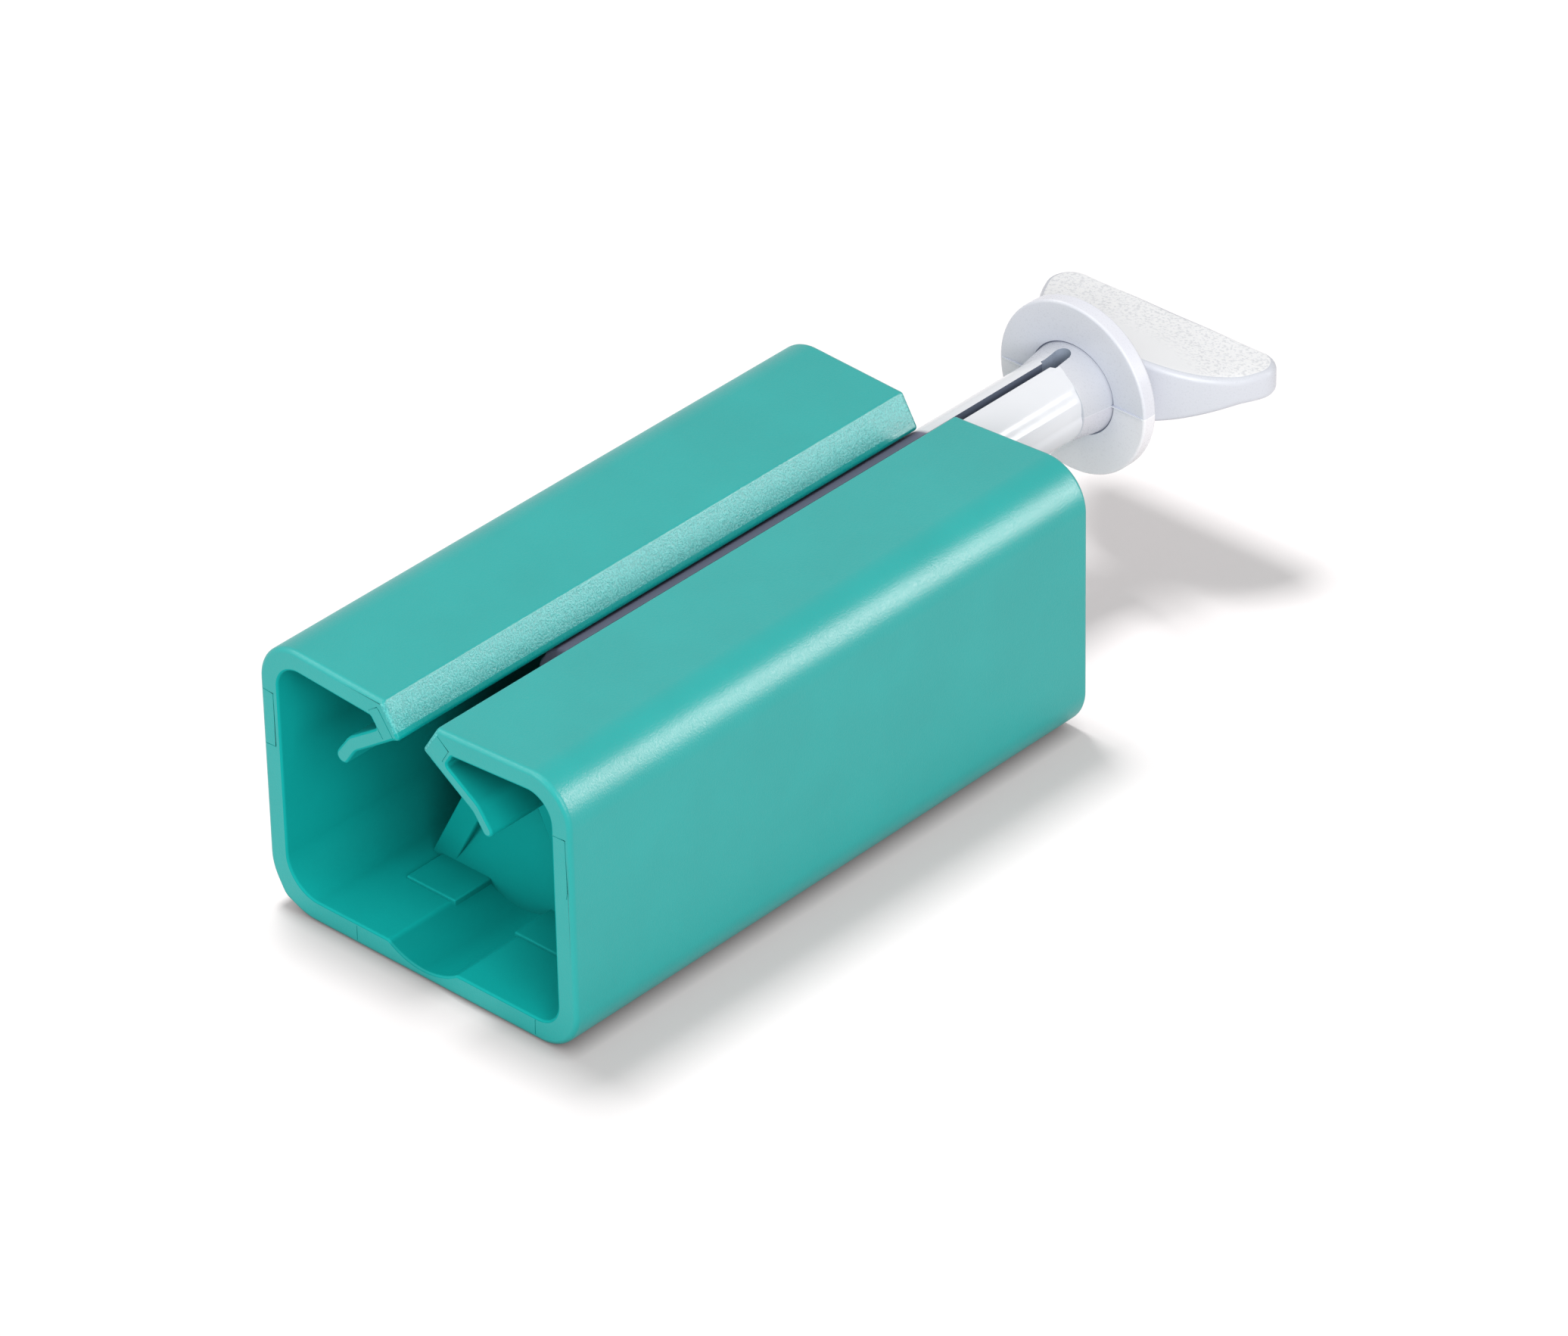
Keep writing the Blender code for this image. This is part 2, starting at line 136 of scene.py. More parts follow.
# Moulding marks: grooves on the front end face, as strokes through (x, z) points in millimetres
MARK_DEPTH = 0.045 * MM
MARK_WIDTH = 0.11 * MM
MARK_OVERRUN = 0.025 * MM
MARKS = (
    ((-20.9, 25.25), (-18.95, 25.1), (-18.95, 18.95), (-20.9, 18.8)),
    ((18.1, 25.2), (20.05, 25.3), (20.15, 19.3), (20.0, 18.6)),
    ((-5.7, 28.95), (-4.6, 29.75), (-4.3, 29.5), (-2.6, 27.05)),
    ((-4.75, 27.5), (-3.95, 26.4)),
    ((3.55, 29.95), (4.95, 28.8), (4.05, 27.3)),
    ((-8.95, 0.6), (-8.95, 2.2)),
    ((15.1, 0.6), (15.15, 2.3)),
)

# Split shaft, with low ridges along each flank: (angle from the top, drop below the radius)
KEY_CLEARANCE = 0.32 * MM
JOINT_GAP = 0.3 * MM
KEY_DRAWN_OUT = 17.1 * MM
SHAFT_RADIUS = 4.6 * MM
SHAFT_LENGTH = 72.6 * MM
SHAFT_TIP_ROUNDING = 0.35 * MM
SHAFT_TIP_INSET = 2.1 * MM
SHAFT_IN_COLLAR = 1.9 * MM
SHAFT_EDGE_ROUNDING = 0.14 * MM
SPIGOT_WIDTH = 5.0 * MM
SPIGOT_LENGTH = 5.5 * MM
FLANK_DROPS = ((0, 0), (48, 0), (54, 0.10 * MM), (69, 0), (72, 0.03 * MM), (90, 0.17 * MM),
               (97, 0.03 * MM), (104, 0), (180, 0))

# Slit through the shaft and the keyhole that it opens into; the shaft's is wider by a hair
SLIT_WIDTH = 1.0 * MM
SLIT_SPARE = 0.03 * MM
KEYHOLE_WIDTH = 1.9 * MM
KEYHOLE_LENGTH = 3.6 * MM
KEYHOLE_START = 0.2 * MM
KEYHOLE_SHOULDER = 0.3 * MM
HOLE_MARGIN = 0.04 * MM

# Conical collar, a little flattened, whose front edge goes through (step out, step back)
COLLAR_RADIUS = 5.4 * MM
COLLAR_LENGTH = 4.3 * MM
COLLAR_SETBACK = 0.6 * MM
COLLAR_EDGE = ((-0.1 * MM, 0), (0.12 * MM, 0.03 * MM), (0.22 * MM, 0.13 * MM))
COLLAR_SQUASH = 0.06
GROOVE_WIDTH = 0.17 * MM
GROOVE_BOTTOM = 0.04 * MM
GROOVE_DEPTH = 0.16 * MM

# Flange, whose front bulges by (radius, rise); ribs along the mould's parting plane; stem
FLANGE_RADIUS = 9.8 * MM
FLANGE_THICKNESS = 1.8 * MM
FLANGE_FRONT_ROUNDING = 0.3 * MM
FLANGE_BACK_ROUNDING = 0.35 * MM
FLANGE_BULGE = ((7.4 * MM, 0.02 * MM), (8.6 * MM, 0.06 * MM))
FLANGE_RIM_RISE = 0.1 * MM
RIB_WIDTH = 0.15 * MM
RIB_RISE = 0.17 * MM
RIB_IN_FLANGE = 0.4 * MM
RIB_IN_COLLAR = 0.2 * MM
RIB_FROM_RIM = 0.35 * MM
STEM_RADIUS = 4.0 * MM
STEM_TAPER = 0.6

# Half-moon grip, dished between stem and tips on its upper side
WING_GAP = 1.0 * MM
WING_DEPTH = 13.6 * MM
WING_MIDDLE = 0.55
WING_ARC_RADIUS = 15.8 * MM
WING_TIP_RADIUS = 2.5 * MM
WING_EDGE_THICKNESS = 3.5 * MM
WING_HUB_THICKNESS = 8.8 * MM
WING_HUB_HALF_WIDTH = 13.4 * MM
WING_EDGE_ROUNDING = 0.8 * MM
WING_DIP = 0.4 * MM
WING_DIP_START = 3.0 * MM
WING_DIP_WIDTH = 16.0 * MM

# Places in the part's frame
FRONT_END = -HOUSING_LENGTH / 2
REAR_END = HOUSING_LENGTH / 2
TROUGH_END = FRONT_END + FRONT_BRACE_INSET + BRACE_THICKNESS * 0.4
AXIS_Z = (HOUSING_HEIGHT - LIP_APEX_DROP
          - (SHAFT_RADIUS + KEY_CLEARANCE) / math.cos(LIP_PITCH))
COLLAR_FRONT = REAR_END + JOINT_GAP + KEY_DRAWN_OUT

# Places along the key's own axis, from the collar's front
HOUSING_BACK = -JOINT_GAP - KEY_DRAWN_OUT
FLANGE_BACK = COLLAR_LENGTH + FLANGE_THICKNESS
WING_APEX = FLANGE_BACK + WING_GAP

# Shading of the plastics, and where painted shade lies far inside, across the trough and on the shaft
MOTTLE_SCALE = 110.0
NOOK_SAMPLES = 8
FLECK_SHARE = 0.75
GLOSS_SPREAD = 0.05
DEEP_DARK = 8 * MM
DEEP_CLEAR = 17 * MM
ACROSS_HALF_WIDTH = 5 * MM
BURIED_BLEND = 0.3 * MM
BURIED_DULLNESS = 0.45

# Floor, with its tone as seen and as it lights things, and the painted shadow and warm tint near the
# object
GROUND_SIZE = 6.0
GROUND_DROP = 0.02 * MM
GROUND_TONE_SEEN = 0.37
GROUND_TONE_LIT = 0.42
GROUND_RED = 1.045
GROUND_GLOW = 0.40
CONTACT_REACH = 2.0 * MM
CONTACT_SAMPLES = 12
CONTACT_POWER = 0.7
SHADOW_REACH = 30 * MM
SHADOW_SAMPLES = 8
SHADOW_RED = 0.14

# Light and camera
SKY_SEEN = 1.0
SKY_LIT = 0.45
LAMPS_AIM = Vector((0, 10 * MM, 15 * MM))
BEHIND_RIGHT = (0.677, 0.61, 0.408)
AZIMUTH = math.radians(42.932)
ELEVATION = math.radians(33.317)
ROLL = math.radians(-1.174)
CAMERA_PLACE = Vector((0.488498, -0.510212, 0.481551))
PHOTO_PIXELS = 2072
FOCAL_PIXELS = 11304.36
SENSOR_WIDTH = 36.0
NEAREST_SEEN = 0.05


# Meshes

def mesh_object(name, bm, materials, sharp=35.0):
    """Turn a bmesh into a smooth-shaded object whose broad faces stay flat."""
    bmesh.ops.recalc_face_normals(bm, faces=bm.faces)
    mesh = bpy.data.meshes.new(name)
    bm.to_mesh(mesh)
    bm.free()
    mesh.shade_smooth()
    mesh.set_sharp_from_angle(angle=math.radians(sharp))
    for material in materials:
        mesh.materials.append(material)
    obj = bpy.data.objects.new(name, mesh)
    bpy.context.scene.collection.objects.link(obj)
    return obj


def apply_modifiers(obj):
    """Bake an object's modifiers into its mesh."""
    bpy.context.view_layer.update()
    shape = obj.evaluated_get(bpy.context.evaluated_depsgraph_get())
    mesh = bpy.data.meshes.new_from_object(shape)
    mesh.name = obj.name
    obj.modifiers.clear()
    obj.data = mesh


def boolean(target, tool, operation, crossing=False):
    """Join or cut with a tool object, which is then removed; crossing if its parts overlap."""
    modifier = target.modifiers.new(tool.name, "BOOLEAN")
    modifier.operation = operation
    modifier.solver = "EXACT"
    modifier.use_self = crossing
    modifier.object = tool
    apply_modifiers(target)
    bpy.data.objects.remove(tool, do_unlink=True)


def soften(obj, width, segments=3, angle=32.0):
    """Round an object's crisp edges and keep its broad faces flat in shading."""
    bevel = obj.modifiers.new("soft_edges", "BEVEL")
    bevel.width = width
    bevel.segments = segments
    bevel.limit_method = "ANGLE"
    bevel.angle_limit = math.radians(angle)
    bevel.harden_normals = False
    apply_modifiers(obj)
    flatten(obj)


def flatten(obj, sharp=50.0):
    """Weight the normals by face area, so that roundings shade softly next to flat faces."""
    obj.data.shade_smooth()
    obj.data.set_sharp_from_angle(angle=math.radians(sharp))
    weighted = obj.modifiers.new("flat_faces", "WEIGHTED_NORMAL")
    weighted.keep_sharp = True
    apply_modifiers(obj)


def arc_points(centre, radius, start, end, steps):
    """Points on an arc from one angle to another, both ends included."""
    angles = [start + (end - start) * i / steps for i in range(steps + 1)]
    return [Vector((centre[0] + radius * math.cos(a), centre[1] + radius * math.sin(a)))
            for a in angles]


def mirrored(points):
    """The points on the other side of the middle, in the reverse order."""
    return [Vector((-p.x, p.y)) for p in reversed(points)]


def rounded_outline(corners, step=math.radians(5.0)):
    """Closed outline whose corners (a, b, radius) are rounded by tangent arcs."""
    points = []
    for i, (a, b, radius) in enumerate(corners):
        here = Vector((a, b))
        before = (Vector(corners[i - 1][:2]) - here).normalized()
        after = (Vector(corners[(i + 1) % len(corners)][:2]) - here).normalized()
        half = before.angle(after) / 2
        centre = here + (before + after).normalized() * radius / math.sin(half)
        start = here + before * radius / math.tan(half) - centre
        turn = math.pi - 2 * half
        sweep = -turn if before.cross(after) > 0 else turn
        first = math.atan2(start.y, start.x)
        fine = step if radius > SMALL_RADIUS else 2.5 * step
        points += arc_points(centre, radius, first, first + sweep, max(2, round(turn / fine)))
    return points


def inset_outline(points, distance):
    """A clockwise outline moved into the material by a distance."""
    moved = []
    for i, point in enumerate(points):
        one = (point - points[i - 1]).normalized()
        two = (points[(i + 1) % len(points)] - point).normalized()
        inward = Vector((one.y, -one.x)) + Vector((two.y, -two.x))
        moved.append(point + inward * distance / (1 + one.dot(two)))
    return moved


def prism(name, outline, start, end, materials, upright=False):
    """Solid between two planes of Y, from an outline in X and Z; if upright, of Z and in X and Y."""
    bm = bmesh.new()
    front, back = ([bm.verts.new((a, b, level) if upright else (a, level, b)) for a, b in outline]
                   for level in (start, end))
    bm.faces.new(front)
    bm.faces.new(reversed(back))
    for i in range(len(outline)):
        bm.faces.new((front[i - 1], back[i - 1], back[i], front[i]))
    return mesh_object(name, bm, materials)


def box(name, low, high, materials=()):
    """Box between two opposite corners."""
    size = Vector(high) - Vector(low)
    middle = (Vector(high) + Vector(low)) / 2
    bm = bmesh.new()
    bmesh.ops.create_cube(bm, size=1.0, matrix=Matrix.LocRotScale(middle, None, size))
    return mesh_object(name, bm, materials)


def turned(name, profile, materials):
    """Solid of revolution about the key's axis, from (radius, y) points."""
    bm = bmesh.new()
    poles = [bm.verts.new((0, y, 0)) for y in (profile[0][1], profile[-1][1])]
    rings = []
    for radius, y in profile[1:-1]:
        angles = [2 * math.pi * i / ROUND_SEGMENTS for i in range(ROUND_SEGMENTS)]
        rings.append([bm.verts.new((radius * math.sin(a), y, radius * math.cos(a)))
                      for a in angles])
    for i in range(ROUND_SEGMENTS):
        bm.faces.new((poles[0], rings[0][i - 1], rings[0][i]))
        bm.faces.new((poles[1], rings[-1][i], rings[-1][i - 1]))
        for inner, outer in zip(rings, rings[1:]):
            bm.faces.new((inner[i - 1], outer[i - 1], outer[i], inner[i]))
    return mesh_object(name, bm, materials)


# Materials

def add_node(tree, kind, inputs=None, **settings):
    """New node with its settings, and its inputs by name: numbers, colours or nodes' outputs."""
    node = tree.nodes.new(kind)
    for key, value in settings.items():
        setattr(node, key, value)
    for key, value in (inputs or {}).items():
        if hasattr(value, "is_linked"):
            tree.links.new(value, node.inputs[key])
        else:
            node.inputs[key].default_value = value
    return node


def maths(tree, operation, *values):
    """Result of a maths node."""
    node = add_node(tree, "ShaderNodeMath", dict(enumerate(values)), operation=operation)
    return node.outputs["Value"]


def openness(tree, reach, samples):
    """How open a surface is to its surroundings within a reach: 0 in nooks, 1 in the open."""
    node = add_node(tree, "ShaderNodeAmbientOcclusion", {"Distance": reach}, samples=samples)
    return node.outputs["AO"]


class Nodes:
    """Helper that builds the shader nodes of one plastic, placed by the object's own coordinates."""

    def __init__(self, name, colour, roughness):
        self.material = bpy.data.materials.new(name)
        self.material.use_nodes = True
        self.tree = self.material.node_tree
        self.shader = self.tree.nodes["Principled BSDF"]
        self.shader.inputs["Base Color"].default_value = (*colour, 1.0)
        self.shader.inputs["Roughness"].default_value = roughness
        self.place = self.add("ShaderNodeTexCoord").outputs["Object"]

    def add(self, kind, inputs=None, **settings):
        return add_node(self.tree, kind, inputs, **settings)

    def link(self, output, name):
        self.tree.links.new(output, self.shader.inputs[name])

    def maths(self, operation, *values):
        return maths(self.tree, operation, *values)

    def noise(self, scale, detail=2.0, roughness=0.55):
        return self.add("ShaderNodeTexNoise", {"Vector": self.place, "Scale": scale, "Detail": detail,
                                               "Roughness": roughness}).outputs["Fac"]

    def spread(self, value, low, high, from_low=0.3, from_high=0.7):
        """A value's range mapped onto another one."""
        node = self.add("ShaderNodeMapRange", {"Value": value, "From Min": from_low,
                                               "From Max": from_high, "To Min": low, "To Max": high})
        return node.outputs["Result"]

    def ramp(self, value, stops):
        """Colour by a value, from (value, colour) stops."""
        node = self.add("ShaderNodeValToRGB", {"Fac": value})
        elements = node.color_ramp.elements
        for element, (position, colour) in zip(elements, (stops[0], stops[-1])):
            element.position = position
            element.color = (*colour, 1.0)
        for position, colour in stops[1:-1]:
            elements.new(position).color = (*colour, 1.0)
        return node.outputs["Color"]

    def axis(self, name):
        return self.add("ShaderNodeSeparateXYZ", {"Vector": self.place}).outputs[name]

    def along(self, axis, low, high):
        """0 to 1 along one of the object's own axes."""
        return self.spread(self.axis(axis), 0.0, 1.0, low, high)

    def mix(self, factor, one, two, blend="MIX"):
        return self.add("ShaderNodeMix", {"Factor": factor, "A": one, "B": two},
                        data_type="RGBA", blend_type=blend).outputs["Result"]

    def multiply(self, colour, tint, factor=1.0):
        return self.mix(factor, colour, tint, "MULTIPLY")

    def painted_halves(self, tint):
        """Painted shade above the mould's parting plane, less below it, and a painted highlight along
        it.
        """
        return self.ramp(self.along("Z", -0.5 * MM, 0.5 * MM),
                         [(0.38, (0.93, 0.915, 0.93)), (0.41, WHITE), (0.50, WHITE), (0.53, tint)])

    def bump(self, height, distance):
        return self.add("ShaderNodeBump", {"Strength": 1.0, "Distance": distance,
                                           "Height": height}).outputs["Normal"]


def shade(colour, factor):
    return tuple(min(1.0, c * factor) for c in colour)


def plastic(name, colour, roughness, grain_size, grain_depth, spread=0.04, flecks=None,
            painted_nook_shade=None, parting=None, painted_shade_in_housing=None, painted_deep_shade=None, across=None, thin=None, gloss=0.5,
            gloss_tint=WHITE):
    """Moulded plastic: slight mottling, fine surface grain and uneven gloss.

    flecks is a dark and a light tone of the grain. painted_nook_shade is (reach, [(openness, tint),
    ...]):
    painted shade in nooks, by how open the surface is. parting is painted shade for the half above the
    mould's parting plane. painted_shade_in_housing is (y, tint): dull painted shade for the part that
    lies before a place on the Y axis. painted_deep_shade is painted shade for the middle of the
    housing's length. across is painted shade as stops of (x, tint) from side to side. thin is two
    heights from the middle plane, between which the grain fades out.
    """
    n = Nodes(name, colour, roughness)
    n.shader.inputs["Specular IOR Level"].default_value = gloss
    n.shader.inputs["Specular Tint"].default_value = (*gloss_tint, 1.0)
    broad = n.noise(MOTTLE_SCALE, 3.0)
    fine = n.noise(1.0 / grain_size, 2.0, 0.6)
    share = n.spread(n.maths("ABSOLUTE", n.axis("Z")), 1.0, 0.0, *thin) if thin else 1.0
    tone = n.ramp(broad, [(0.32, shade(colour, 1 - spread)), (0.68, shade(colour, 1 + spread))])
    if flecks:
        grain = n.ramp(fine, [(0.38, flecks[0]), (0.5, colour), (0.62, flecks[1])])
        tone = n.mix(n.maths("MULTIPLY", share, FLECK_SHARE), tone, grain)
    # Painted shade in nooks, creases and recesses: darker where the surface is less open
    if painted_nook_shade:
        reach, stops = painted_nook_shade
        tone = n.multiply(tone, n.ramp(openness(n.tree, reach, NOOK_SAMPLES), stops))
    # Painted shade above the parting plane, less below it, and a painted highlight along it
    if parting:
        tone = n.multiply(tone, n.painted_halves(parting))
    # Painted shade far inside the housing, fading out towards its ends
    if painted_deep_shade:
        inward = n.spread(n.maths("ABSOLUTE", n.axis("Y")), 1.0, 0.0, DEEP_DARK, DEEP_CLEAR)
        tone = n.multiply(tone, (*painted_deep_shade, 1.0), inward)
    # Painted shade from side to side
    if across:
        tone = n.multiply(tone, n.ramp(n.along("X", -ACROSS_HALF_WIDTH, ACROSS_HALF_WIDTH), across))
    rough = n.spread(fine, roughness - GLOSS_SPREAD, roughness + GLOSS_SPREAD)
    # Painted shade, duller, on the part inside the housing
    if painted_shade_in_housing:
        end, tint = painted_shade_in_housing
        inside = n.maths("SUBTRACT", 1.0, n.along("Y", end - BURIED_BLEND, end + BURIED_BLEND))
        tone = n.multiply(tone, (*tint, 1.0), inside)
        rough = n.maths("MULTIPLY_ADD", inside, BURIED_DULLNESS, rough)
    n.link(tone, "Base Color")
    n.link(rough, "Roughness")
    n.link(n.bump(n.maths("MULTIPLY", fine, share), grain_depth), "Normal")
    return n.material


TEAL = (0.008, 0.400, 0.378)
# A darker teal for the inside, the noses and the trough: painted shade
INSIDE = (0.003, 0.385, 0.362)
COARSE = (0.040, 0.435, 0.420)
# Painted shade: tints by how open the surface is, darker in nooks and creases, and across the trough
TEAL_NOOK_SHADE = (2.5 * MM, [(0.0, (0.5, 0.62, 0.62)), (0.45, (0.8, 0.86, 0.86)), (0.8, WHITE)])
INSIDE_NOOK_SHADE = (7 * MM, [(0.0, (0.20, 0.28, 0.28)), (0.35, (0.46, 0.54, 0.54)),
                         (0.6, (0.74, 0.79, 0.79)), (0.8, (0.92, 0.94, 0.94)), (0.95, WHITE)])
HANDLE_NOOK_SHADE = (5 * MM, [(0.0, (0.12, 0.14, 0.20)), (0.2, (0.28, 0.31, 0.40)),
                         (0.4, (0.76, 0.79, 0.85)), (0.7, (0.90, 0.92, 0.95)), (1.0, WHITE)])
TROUGH_SHADE = [(0.04, WHITE), (0.08, (0.72, 0.75, 0.75)), (0.5, (0.74, 0.76, 0.76)),
                (0.72, (0.90, 0.92, 0.92)), (0.96, WHITE)]

# Size and depth of the grain, and the spread of tone
SMOOTH_TEAL = (0.3 * MM, 0.012 * MM, 0.03)
POLISHED = (0.9 * MM, 0.0015 * MM)
SATIN = (0.2 * MM, 0.004 * MM, 0.012)

teal = plastic("teal_moulding", TEAL, 0.38, 0.20 * MM, 0.026 * MM, 0.03, painted_nook_shade=TEAL_NOOK_SHADE,
               gloss_tint=(1.0, 0.80, 0.80))
# The inside: a darker, duller copy of the teal, with painted shade in nooks and far inside
teal_inside = plastic("teal_inside", INSIDE, 0.66, *SMOOTH_TEAL, painted_nook_shade=INSIDE_NOOK_SHADE,
                      painted_deep_shade=(0.34, 0.34, 0.34), gloss=0.08)
# The noses: the darker teal with little gloss, painted shade
teal_nose_shade = plastic("teal_nose_shade", INSIDE, 0.30, *SMOOTH_TEAL, gloss=0.25)
# The finger trough: painted shade, darker on its left slope than on its right
teal_trough = plastic("teal_trough", INSIDE, 0.42, *SMOOTH_TEAL, gloss=0.12, across=TROUGH_SHADE)
teal_coarse = plastic("teal_coarse_grain", COARSE, 0.40, 0.20 * MM, 0.05 * MM, 0.03,
                      flecks=((0.010, 0.300, 0.290), (0.120, 0.580, 0.560)))
# The shaft: painted shade, darker and duller, where it lies in the housing
white_gloss = plastic("white_gloss", (0.80, 0.812, 0.845), 0.14, *POLISHED, 0.01,
                      painted_shade_in_housing=(HOUSING_BACK, (0.20, 0.19, 0.27)))
# Walls of the slit: painted shade, darker still inside the housing
slit_shade = plastic("slit_shade", (0.15, 0.175, 0.24), 0.35, *POLISHED, 0.02,
                     painted_shade_in_housing=(HOUSING_BACK, (0.30, 0.30, 0.30)))
# The handle: painted shade in its nooks and above its parting plane, a painted highlight along it
white_satin = plastic("white_satin", (0.97, 0.975, 1.0), 0.30, *SATIN, painted_nook_shade=HANDLE_NOOK_SHADE,
                      parting=(0.80, 0.805, 0.85))
# The collar: a darker, bluer copy of the handle's white, painted shade
collar_painted_shade = plastic("collar_painted_shade", (0.74, 0.742, 0.78), 0.30, *SATIN, painted_nook_shade=HANDLE_NOOK_SHADE,
                       parting=(0.86, 0.87, 0.88))
# Walls of the keyhole: painted shade
keyhole_shade = plastic("keyhole_shade", (0.34, 0.39, 0.48), 0.30, *SATIN)
# The wing's rolled edge and wall: a darker, bluer copy of the white, painted shade
wing_wall_painted_shade = plastic("wing_wall_painted_shade", (0.67, 0.69, 0.745), 0.30, *SATIN)
white_grain = plastic("white_grain", (0.97, 0.975, 0.99), 0.36, 0.34 * MM, 0.040 * MM, 0.012,
                      flecks=((0.74, 0.75, 0.775), WHITE), thin=(1.95 * MM, 2.5 * MM))
SHELL_MATERIALS = (teal, teal_coarse, teal_inside, teal_trough, teal_nose_shade)


# Housing

def lip_underside(x):
    return HOUSING_HEIGHT - LIP_APEX_DROP - x * math.tan(LIP_PITCH)


def lip_corners(side, nose, drop, thickness, root, tip_rounding):
    """Corners of one lip, from its nose round its tip to the underside of the top plate."""
    upper = thickness / math.cos(LIP_PITCH)
    bend_z = lip_underside(LIP_BEND_X)
    outer_bend = LIP_BEND_X + thickness * math.sin(LIP_PITCH)
    tip = Vector((LIP_BEND_X + LIP_TIP_REACH, bend_z - LIP_TIP_FALL))
    along = Vector((LIP_TIP_REACH, -LIP_TIP_FALL)).normalized()
    tip_outer = tip + thickness * Vector((-along.y, along.x))
    corners = [
        (nose, lip_underside(nose) - drop, NOSE_ROUNDING),
        (nose + NOSE_WIDTH, lip_underside(nose + NOSE_WIDTH), NOSE_HEEL_ROUNDING),
        (LIP_BEND_X, bend_z, LIP_BEND_ROUNDING),
        (*tip, tip_rounding),
        (*tip_outer, tip_rounding),
        (outer_bend, lip_underside(outer_bend) + upper, LIP_BEND_ROUNDING),
        (root, lip_underside(root) + upper, SLOT_EDGE_ROUNDING),
        (root + LIP_ROOT_SLANT, HOUSING_HEIGHT - TOP_DROOP - TOP_PLATE, SLOT_EDGE_ROUNDING),
    ]
    return [(side * x, z, radius) for x, z, radius in corners]


def on_floor(point):
    return abs(point.y - FLOOR) < TINY


def housing_outline():
    """Section of the housing, clockwise seen from the front, with close points over the trough."""
    half = HOUSING_WIDTH / 2
    inner = half - WALL
    slot_z = HOUSING_HEIGHT - TOP_DROOP
    ceiling = HOUSING_HEIGHT - TOP_PLATE
    points = rounded_outline([
        (SLOT_RIGHT, slot_z, SLOT_EDGE_ROUNDING),
        (half, HOUSING_HEIGHT, TOP_RADIUS),
        (half, 0, BASE_RADIUS_RIGHT),
        (-half, 0, BASE_RADIUS_LEFT),
        (-half, HOUSING_HEIGHT, TOP_RADIUS),
        (-SLOT_LEFT, slot_z, SLOT_EDGE_ROUNDING),
        *lip_corners(-1, NOSE_LEFT, NOSE_DROP_LEFT, LIP_THICKNESS_LEFT, LIP_ROOT_LEFT,
                     LIP_TIP_ROUNDING_LEFT),
        (-inner, ceiling, INNER_TOP_RADIUS),
        (-inner, FLOOR, INNER_BASE_RADIUS_LEFT),
        (inner, FLOOR, INNER_BASE_RADIUS_RIGHT),
        (inner, ceiling, INNER_TOP_RADIUS),
        *reversed(lip_corners(1, NOSE_RIGHT, NOSE_DROP_RIGHT, LIP_THICKNESS_RIGHT, LIP_ROOT_RIGHT,
                              LIP_TIP_ROUNDING_RIGHT)),
    ])
    dense = []
    for i, point in enumerate(points):
        last = points[i - 1]
        if on_floor(last) and on_floor(point) and abs(point.x - last.x) > TROUGH_WIDTH:
            dense += [Vector((TROUGH_REACH * (2 * k / TROUGH_STEPS - 1), FLOOR))
                      for k in range(TROUGH_STEPS + 1)]
        if abs(point.x) < SLOT_LEFT and (last.y - COARSE_END) * (point.y - COARSE_END) < 0:
            dense.append(last.lerp(point, (COARSE_END - last.y) / (point.y - last.y)))
        dense.append(point)
    return dense


def trough_sink(x):
    """Depth of the finger trough at a distance from the middle, with softly rounded edges."""
    half = TROUGH_WIDTH / 2
    radius = (half * half + TROUGH_DEPTH * TROUGH_DEPTH) / (2 * TROUGH_DEPTH)
    depth = math.sqrt(max(0.0, radius * radius - x * x)) - (radius - TROUGH_DEPTH)
    soft = TROUGH_EDGE_SOFTNESS
    return 0.5 * (depth + math.sqrt(depth * depth + 4 * soft * soft)) - soft * soft / TROUGH_DEPTH


def cut_marks(shell):
    """Cut the moulding marks as shallow grooves."""
    bm = bmesh.new()
    for stroke in MARKS:
        for start, end in zip(stroke, stroke[1:]):
            start, end = Vector(start) * MM, Vector(end) * MM
            middle, along = (start + end) / 2, end - start
            bmesh.ops.create_cube(bm, size=1.0, matrix=Matrix.LocRotScale(
                Vector((middle.x, FRONT_END, middle.y)),
                Matrix.Rotation(-math.atan2(along.y, along.x), 3, "Y"),
                Vector((along.length + 2 * MARK_OVERRUN, 2 * MARK_DEPTH, MARK_WIDTH))))
    boolean(shell, mesh_object("marks", bm, (teal,)), "DIFFERENCE", True)


def is_outside(point):
    """Whether a point of the section lies on its outside."""
    half = HOUSING_WIDTH / 2
    corner = (max(abs(point.x) - (half - TOP_RADIUS), 0),
              max(point.y - (HOUSING_HEIGHT - TOP_RADIUS), 0))
    return (abs(point.x) > half - SIDE_SKIN or point.y < BASE_SKIN
            or point.y > HOUSING_HEIGHT - TOP_DROOP - TOP_SKIN
            or math.hypot(*corner) > TOP_RADIUS - CORNER_SKIN)


def rim_roundings(outline):
    """Rounding of the end rims at each point, with soft changes where it is more than the least."""
    roundings = []
    for point in outline:
        rounding = RIM_ROUNDING + (OUTER_RIM_EXTRA if is_outside(point) else 0.0)
        if abs(point.x) < SLOT_LEFT and NOSE_BOTTOM < point.y < COARSE_END + NEAR:
            rounding += NOSE_RIM_EXTRA
        roundings.append(rounding)
    for _ in range(3):
        roundings = [min(r, (roundings[i - 1] + r + roundings[(i + 1) % len(roundings)]) / 3)
                     if r > RIM_ROUNDING else r for i, r in enumerate(roundings)]
    return roundings


